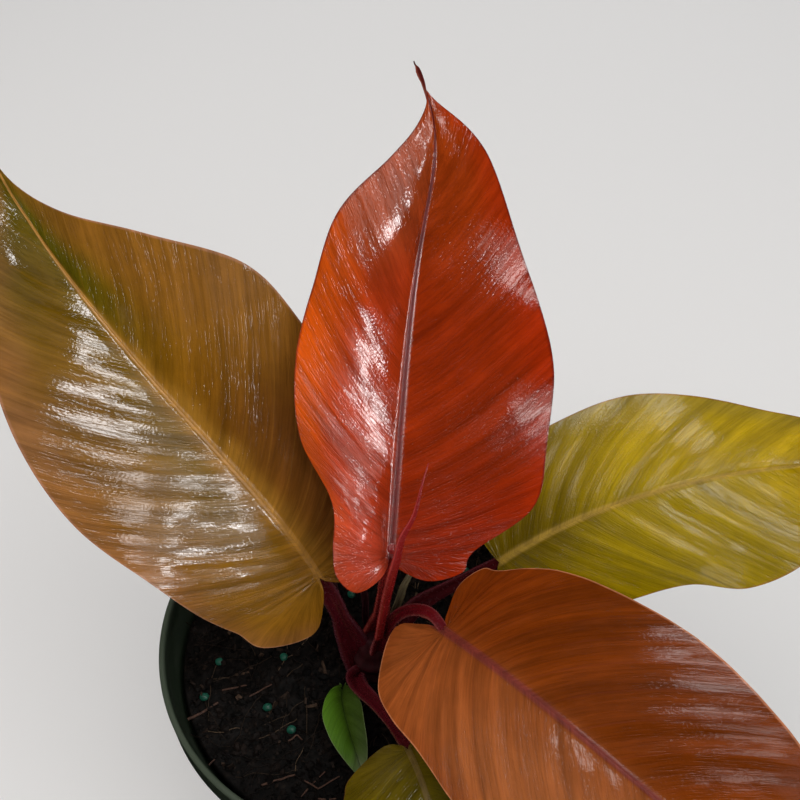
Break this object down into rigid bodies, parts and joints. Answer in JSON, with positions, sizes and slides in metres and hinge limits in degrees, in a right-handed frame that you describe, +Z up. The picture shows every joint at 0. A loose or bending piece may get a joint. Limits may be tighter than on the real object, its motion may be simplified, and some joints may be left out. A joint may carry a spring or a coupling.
{
  "type": "potted philodendron",
  "caption": "Potted philodendron: heart-shaped glossy leaves in red, orange, olive and yellow green on short petioles, in a round tapered nursery pot of soil.",
  "frame": {"origin": "centre of the pot's flat base, on the surface it stands on", "axes": "+Z up through the pot, -Y towards the front of the plant, +X to the right"},
  "size_m": [0.2963, 0.2104, 0.3214],
  "materials": {
    "pot_plastic": "thin dark green moulded nursery plastic, satin",
    "potting_mix": "damp near-black peat and bark with pale fibres",
    "leaf_red": "glossy waxy leaf, red with an orange edge",
    "leaf_olive": "glossy waxy leaf, brown olive with a golden midrib",
    "leaf_orange": "glossy waxy leaf, orange brown",
    "leaf_yellow": "glossy waxy leaf, yellow green",
    "leaf_green": "glossy waxy leaf, dark olive green",
    "red_stalk": "smooth crimson stalk",
    "dark_stalk": "smooth very dark maroon stalk",
    "dry_sheath": "dry papery tan sheath",
    "scale_green": "smooth mid green scale leaf",
    "prill_coat": "satin teal fertiliser coating"
  },
  "bodies": {
    "root": {"nursery_pot": "pot_plastic", "potting_soil": "potting_mix", "stem": "dark_stalk", "upright_red_blade": "leaf_red", "left_olive_blade": "leaf_olive", "near_orange_blade": "leaf_orange", "right_yellow_blade": "leaf_yellow", "front_green_blade": "leaf_green", "upright_red_petiole": "red_stalk", "left_olive_petiole": "dark_stalk", "near_orange_petiole": "red_stalk", "right_yellow_petiole": "dark_stalk", "front_green_petiole": "dark_stalk", "new_leaf_spear": "red_stalk", "dry_sheath_right": "dry_sheath", "dark_sheath_back": "dark_stalk", "dark_sheath_left": "dark_stalk", "green_scale_leaf": "scale_green", "fertiliser_prill_1": "prill_coat", "fertiliser_prill_2": "prill_coat", "fertiliser_prill_3": "prill_coat", "fertiliser_prill_4": "prill_coat", "fertiliser_prill_5": "prill_coat", "fertiliser_prill_6": "prill_coat", "fertiliser_prill_7": "prill_coat", "fertiliser_prill_8": "prill_coat"}
  },
  "joints": []
}
